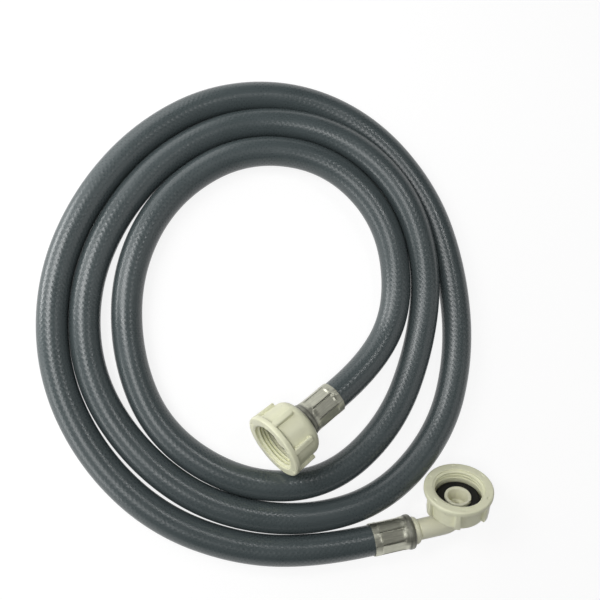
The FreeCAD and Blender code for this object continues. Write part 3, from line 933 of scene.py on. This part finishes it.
def make_straight_tail(settings):
    """Model the straight tail in its end's frame."""
    bore = settings.bore / 2 / MM
    head_back = STRAIGHT_NUT_START + STRAIGHT_NUT_LENGTH - SEAT_DEPTH + HEAD_LIFT
    neck = [(6.8, 22.2), (NECK_RADIUS, 22.4), (NECK_RADIUS, STRAIGHT_NUT_START + 2.5)]
    outline = shank_outline(bore) + neck + head_outline(head_back, bore)
    piece = lathe("straight_tail_barb", outline, 96)
    smooth(piece, 30)
    return piece


def make_elbow_tail(settings):
    """Model the elbow in its end's frame: shank and collar, a spun bend, and neck and head."""
    bore = settings.bore / 2 / MM
    tube = settings.tube / 2 / MM
    tube_end = ELBOW_CORNER - ELBOW_BEND
    steps = 64
    shank = shank_outline(bore) + [
        (6.85, 22.2), (7.06, 22.26), (7.15, 22.45), (7.15, 23.7), (7.08, 23.85), (6.88, 23.95),
        (6.84, 24.05), (6.9, 24.15), (6.9, 24.35), (6.8, 24.6), (6.55, 24.95), (6.2, 25.25),
        (5.85, 25.5), (5.6, 25.62), (5.24, 25.7), (5.2, 25.85), (5.26, 26.0), (tube, 26.1),
        (tube, tube_end),
    ]
    piece = start_profile("elbow_tail_barb", shank[::-1] + [(bore, tube_end)], closed=False)
    spin(steps)
    weld()
    choose(piece, "EDGE", lambda item, at: len(item.link_faces) == 1
           and all(abs(point.co.z - tube_end * MM) < 0.01 * MM for point in item.verts))
    spin(14, -math.pi / 2, centre=(ELBOW_BEND * MM, 0, tube_end * MM), axis=(0, 1, 0))
    bpy.ops.object.mode_set(mode="OBJECT")

    seat = ELBOW_RISE + ELBOW_NUT_LENGTH - SEAT_DEPTH + HEAD_LIFT
    rises = ((tube, 0.7), (tube + 0.2, 1.05), (6.4, 1.4), (6.9, 1.65), (NECK_RADIUS, 1.9))
    head = [(tube, ELBOW_BEND)] + [(radius, ELBOW_BEND + height) for radius, height in rises]
    head += [(NECK_RADIUS, seat)] + head_outline(seat, bore) + [(bore, ELBOW_BEND)]
    top = start_profile("elbow_head", head, closed=False)
    spin(steps)
    place(top, elbow_turned())
    join_pieces([piece, top])
    enter_edit(piece)
    bpy.ops.mesh.select_all(action="SELECT")
    bpy.ops.mesh.remove_doubles(threshold=10 * WELD)
    tidy_skin(piece)
    smooth(piece, 30)
    return piece


def make_washer():
    """Model a flat washer from its underside at height 0, with a faint groove near its rim."""
    top = WASHER_THICKNESS
    groove = top - 0.06
    outline = [
        (7.1, 0.0), (11.4, 0.0), (11.55, 0.08), (HEAD_RADIUS, 0.25), (HEAD_RADIUS, top - 0.3),
        (11.52, top - 0.1), (11.3, top), (10.2, top), (10.1, groove), (9.9, groove), (9.8, top),
        (7.25, top), (7.05, groove), (6.95, top - 0.25), (6.95, 0.15),
    ]
    piece = lathe("straight_washer_ring", outline, 96)
    smooth(piece, 30)
    return piece


class SUPPLY_OT_tails(Operator):
    """Add the straight tail and the elbow"""
    bl_idname = "supply.tails"
    bl_label = "Tails"

    def execute(self, context):
        settings = context.scene.supply_tail
        material = plastic_material("Cream Tail Plastic", settings.plastic_colour, 0.34, 0.46, 0.36)
        straight = make_straight_tail(settings)
        elbow = make_elbow_tail(settings)
        fit(straight, straight_frame(), material, "hose", "tail_plastic", "straight_tail")
        fit(elbow, elbow_frame(), material, "hose", "tail_plastic", "elbow_tail")
        return {"FINISHED"}


class SUPPLY_OT_washers(Operator):
    """Add the two rubber washers"""
    bl_idname = "supply.washers"
    bl_label = "Washers"

    def execute(self, context):
        material = rubber_material(context.scene.supply_tail)
        straight = make_washer()
        elbow = copy_piece(straight, "elbow_washer_ring")
        under = WASHER_DEPTH + WASHER_THICKNESS
        straight_seat = straight_nut_frame() @ raised(STRAIGHT_NUT_LENGTH - under)
        elbow_seat = elbow_nut_frame() @ raised(ELBOW_NUT_LENGTH - under)
        fit(straight, straight_seat, material, "hose", "washer_rubber", "straight_washer")
        fit(elbow, elbow_seat, material, "hose", "washer_rubber", "elbow_washer")
        return {"FINISHED"}


# Union nuts

def nut_outline(settings, length, shoulder, taper, reach, coned_back):
    """Give a nut's outline from its neck hole, out round the flange and back down the bore."""
    wall = settings.wall_radius / MM
    back = wall - taper
    flange = settings.flange_radius / MM
    major = settings.thread_major / 2 / MM
    flange_back = length - 3.0
    rib_end = length - reach
    seat = length - SEAT_DEPTH
    outline = [(NECK_HOLE, 0.25), (NECK_HOLE + 0.25, 0.0)]
    outline += arc(back - shoulder, shoulder, shoulder, -90, 0, 9)
    outline += [(back + 0.02, rib_end)] if rib_end > shoulder + 0.05 else []
    outline += [(wall - 0.25 * taper, flange_back - 3.0), (wall, flange_back - 0.5)]
    outline += [(wall + 0.1, flange_back - 0.2), (wall + 0.35, flange_back - 0.04)]
    outline += [(wall + 0.6, flange_back)]
    outline += arc(flange - RIM, flange_back + RIM, RIM, -90, 0, 5)
    outline += arc(flange - RIM, length - RIM, RIM, 0, 90, 5)
    outline += [(flange - MARK_OUTSIDE, length), (flange - MARK_INSIDE, length)]
    outline += [(major + 0.35, length), (major + 0.15, length - 0.05), (major, length - 0.22)]
    outline += [(major, length - 6.5), (13.0, length - 6.8), (13.0, seat + 0.2), (12.8, seat)]
    return outline + ([(11.9, seat), (NECK_HOLE, 2.2)] if coned_back else [(NECK_HOLE, seat)])


def raise_rib(piece, settings, length, taper, reach):
    """Draw one rib out of the wall of a nut's sector, and round its crown and its end."""
    wall, crown = settings.wall_radius, settings.rib_radius
    outer = crown - 0.4 * MM
    low, high = (length - reach) * MM, (length - 3.5) * MM
    hair = 0.02 * MM

    def at_rib(at):
        return abs(angle_of(at)) < 8

    enter_edit(piece)
    choose(piece, "FACE", lambda item, at: abs(angle_of(at)) < 6 and low < at.z < high
           and abs(at.xy.length - wall) < (0.6 + taper) * MM)
    bpy.ops.mesh.extrude_region_move()
    stretch(crown / (wall - 0.1 * MM), 1.08, 1)
    choose(piece, "VERT", lambda item, at: at_rib(at) and abs(at.z - high) < hair
           and at.xy.length > wall + 1.2 * MM)
    lift(1.2)
    points = [point.co for point in bmesh.from_edit_mesh(piece.data).verts]
    half = max(abs(point.y) for point in points
               if at_rib(point) and point.z < high and point.xy.length > outer)

    def along_crown(item, at):
        first, second = (point.co for point in item.verts)
        beside = all(abs(abs(end.y) - half) < 0.05 * MM for end in (first, second))
        return (beside and first.y * second.y > 0 and at.z < high + 2 * MM
                and min(first.xy.length, second.xy.length) > outer)

    choose(piece, "EDGE", along_crown)
    bevel(settings.rib_round, 5)

    def on_end_rim(item, at):
        level = all(abs(point.co.z - low) < hair for point in item.verts)
        steep = sum(abs(face.normal.z) for face in item.link_faces) < 1.5
        return (level and steep and len(item.link_faces) == 2 and at_rib(at)
                and at.xy.length > wall + 0.25 * MM)

    choose(piece, "EDGE", on_end_rim)
    bevel(0.3 * MM, 2)
    bpy.ops.object.mode_set(mode="OBJECT")


def press_mark(piece, settings, length):
    """Sink a shallow oval mark in the flange's face, a little way round from the rib."""
    inside = settings.flange_radius - MARK_INSIDE * MM
    outside = settings.flange_radius - MARK_OUTSIDE * MM
    enter_edit(piece)
    choose(piece, "FACE", lambda item, at: abs(angle_of(at) - 10.5) < 4.6
           and abs(at.z - length * MM) < 0.01 * MM and inside < at.xy.length < outside)
    for step in (0.13, 0.09, 0.04):
        bpy.ops.mesh.inset(thickness=0.17 * MM, depth=0.0)
        lift(-step)
    bpy.ops.object.mode_set(mode="OBJECT")


def cut_thread(settings, length):
    """Model the thread as one helical ridge that fades into the bore at both ends."""
    minor = settings.thread_minor / 2 / MM
    major = settings.thread_major / 2 / MM
    pitch = settings.pitch / MM
    turns = 3.25
    start = length - 0.6 - turns * pitch
    flank = [(major + 0.15, 0.84), (major - 0.06, 0.80), (minor + 0.26, 0.38), (minor + 0.07, 0.24)]
    tooth = [(radius, start - height) for radius, height in flank] + [(minor, start)]
    tooth += [(radius, start + height) for radius, height in flank[::-1]]
    piece = start_profile("thread_ridge", tooth)
    bpy.ops.object.mode_set(mode="OBJECT")
    helix = piece.modifiers.new("Thread", "SCREW")
    helix.axis = "Z"
    helix.iterations = 5
    helix.angle = FULL_TURN * turns / helix.iterations
    helix.screw_offset = pitch * turns / helix.iterations * MM
    helix.steps = helix.render_steps = 80
    helix.use_smooth_shade = True
    helix.use_merge_vertices = False
    last = helix.iterations * helix.steps
    pick_only(piece)
    bpy.ops.object.modifier_apply(modifier="Thread")
    if len(piece.data.vertices) != (last + 1) * len(tooth):
        raise RuntimeError("the thread has %d points" % len(piece.data.vertices))
    enter_edit(piece)
    fade = 26
    for index in range(fade):
        sink = 1 + (major / minor - 1) * (1 - index / fade) ** 1.5
        choose(piece, "VERT", lambda item, at: item.index // len(tooth) in (index, last - index))
        stretch(sink, sink, 1)
    choose(piece, "EDGE", lambda item, at: len(item.link_faces) == 1)
    bpy.ops.mesh.edge_face_add()
    tidy_skin(piece)
    return piece


def make_nut(name, settings, length, shoulder, taper, reach, coned_back):
    """Model a union nut in its own frame, from its back face at height 0 to its mouth."""
    outline = nut_outline(settings, length, shoulder, taper, reach, coned_back)
    piece = spin_sector(name, outline, RIBS, 20)
    raise_rib(piece, settings, length, taper, reach)
    press_mark(piece, settings, length)
    close_ring(piece, RIBS)
    join_pieces([piece, cut_thread(settings, length)])
    smooth(piece, 34)
    return piece


class SUPPLY_OT_nuts(Operator):
    """Add the two union nuts"""
    bl_idname = "supply.nuts"
    bl_label = "Union nuts"

    def execute(self, context):
        settings = context.scene.supply_nut
        material = plastic_material("Cream Nut Plastic", settings.plastic_colour, 0.30, 0.42, 0.34)
        straight = make_nut("straight_nut_shell", settings, STRAIGHT_NUT_LENGTH, 5.0, 0.3, 14.0, True)
        elbow = make_nut("elbow_nut_shell", settings, ELBOW_NUT_LENGTH, 2.0, 0.8, 13.0, False)
        straight_seat = straight_nut_frame() @ turned(settings.straight_turn)
        elbow_seat = elbow_nut_frame() @ turned(settings.elbow_turn)
        fit(straight, straight_seat, material, "straight_nut", "nut_plastic", "straight_nut")
        fit(elbow, elbow_seat, material, "elbow_nut", "nut_plastic", "elbow_nut")
        return {"FINISHED"}


# Stage

def seen_plainly(tree):
    """Give 1 where the background is seen or mirrored, and 0 where it lights the object."""
    path = tree.nodes.new("ShaderNodeLightPath").outputs
    seen = math_node(tree, "MAXIMUM", path["Is Camera Ray"], path["Is Glossy Ray"])
    return math_node(tree, "MAXIMUM", seen, path["Is Transmission Ray"])


def floor_material(settings):
    """Matte floor that looks white and keeps a soft shadow."""
    material = bpy.data.materials.new("Matte Floor")
    material.use_nodes = True
    tree = material.node_tree
    tree.nodes.clear()
    output = tree.nodes.new("ShaderNodeOutputMaterial")
    matte = tree.nodes.new("ShaderNodeBsdfDiffuse")
    glow = tree.nodes.new("ShaderNodeEmission")
    both = tree.nodes.new("ShaderNodeAddShader")
    seen = seen_plainly(tree)
    feed(tree, matte.inputs["Color"], mix_colours(tree, seen, settings.floor_colour, SEEN_FLOOR))
    feed_all(tree, glow.inputs, {
        "Color": (1, 1, 1), "Strength": math_node(tree, "MULTIPLY", seen, FLOOR_GLOW)})
    feed(tree, both.inputs[0], matte.outputs[0])
    feed(tree, both.inputs[1], glow.outputs[0])
    feed(tree, output.inputs["Surface"], both.outputs[0])
    return material


def light_world(settings):
    """Even light from all round, with a white band round the horizon where it is seen."""
    world = bpy.data.worlds.new("Studio")
    bpy.context.scene.world = world
    world.use_nodes = True
    tree = world.node_tree
    split = tree.nodes.new("ShaderNodeSeparateXYZ")
    feed(tree, split.inputs[0], tree.nodes.new("ShaderNodeTexCoord").outputs["Generated"])
    band = ramp_node(tree, split.outputs[2], 0.1, 0.35, 1.0 - settings.sky_strength, 0.0)
    extra = math_node(tree, "MULTIPLY", seen_plainly(tree), band)
    feed_all(tree, tree.nodes["Background"].inputs, {
        "Color": (1, 1, 1), "Strength": math_node(tree, "ADD", extra, settings.sky_strength)})


def hang_lamp(name, power, size, place_at):
    """Hang one oblong area lamp and point it at the middle of the coil."""
    data = bpy.data.lights.new(name, "AREA")
    data.energy = power
    data.shape = "RECTANGLE"
    data.size, data.size_y = size
    lamp = bpy.data.objects.new(name, data)
    lamp.location = place_at
    lamp.visible_camera = False
    lamp.rotation_euler = (-Vector(place_at)).to_track_quat("-Z", "Y").to_euler()
    bpy.context.scene.collection.objects.link(lamp)


def stand_camera():
    """Stand the camera above the coil, looking down at it."""
    data = bpy.data.cameras.new("Camera")
    data.lens = 48.0
    data.sensor_width = 36.0
    camera = bpy.data.objects.new("Camera", data)
    back = (CAMERA_PLACE - CAMERA_AIM).normalized()
    right = (CAMERA_RIGHT - back * CAMERA_RIGHT.dot(back)).normalized()
    turn = Matrix((right, back.cross(right), back)).transposed().to_4x4()
    camera.matrix_world = Matrix.Translation(CAMERA_PLACE) @ turn
    bpy.context.scene.collection.objects.link(camera)
    bpy.context.scene.camera = camera


class SUPPLY_OT_stage(Operator):
    """Add the camera, the floor, the lamps and the even light"""
    bl_idname = "supply.stage"
    bl_label = "Stage"

    def execute(self, context):
        settings = context.scene.supply_stage
        leave_edit_mode()
        stand_camera()
        bpy.ops.mesh.primitive_plane_add(size=settings.floor_size, location=(0, 0, 0))
        floor = bpy.context.object
        floor.name = "floor"
        floor.data.materials.append(floor_material(settings))
        light_world(settings)
        for name, power, size, place_at in LAMPS:
            hang_lamp(name, power * settings.lamp_power, size, place_at)
        context.scene.view_settings.view_transform = "Standard"
        return {"FINISHED"}


# Panel and registration

GROUPS = {
    "supply_hose": HoseSettings, "supply_ferrule": FerruleSettings, "supply_tail": TailSettings,
    "supply_nut": NutSettings, "supply_stage": StageSettings,
}
STEPS = (SUPPLY_OT_stage, SUPPLY_OT_hose, SUPPLY_OT_ferrules, SUPPLY_OT_tails, SUPPLY_OT_washers,
         SUPPLY_OT_nuts, SUPPLY_OT_route)


class SUPPLY_PT_panel(Panel):
    """Sidebar panel that lists the pieces"""
    bl_idname = "SUPPLY_PT_panel"
    bl_label = "Supply Line"
    bl_space_type = "VIEW_3D"
    bl_region_type = "UI"
    bl_category = "Supply Line"

    def draw(self, context):
        for step in STEPS:
            self.layout.operator(step.bl_idname)
        for group in GROUPS:
            box = self.layout.box()
            settings = getattr(context.scene, group)
            for name in settings.bl_rna.properties.keys():
                if name not in ("rna_type", "name"):
                    box.prop(settings, name)


CLASSES = (*GROUPS.values(), *STEPS, SUPPLY_PT_panel)


def register():
    for item in CLASSES:
        bpy.utils.register_class(item)
    for name, group in GROUPS.items():
        setattr(bpy.types.Scene, name, PointerProperty(type=group))


def unregister():
    for name in GROUPS:
        delattr(bpy.types.Scene, name)
    for item in reversed(CLASSES):
        bpy.utils.unregister_class(item)


def main():
    """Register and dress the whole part."""
    register()
    bpy.ops.supply.stage()
    bpy.ops.supply.hose()
    bpy.ops.supply.ferrules()
    bpy.ops.supply.tails()
    bpy.ops.supply.washers()
    bpy.ops.supply.nuts()
    bpy.ops.supply.route()
    leave_edit_mode()


if __name__ == "__main__":
    main()
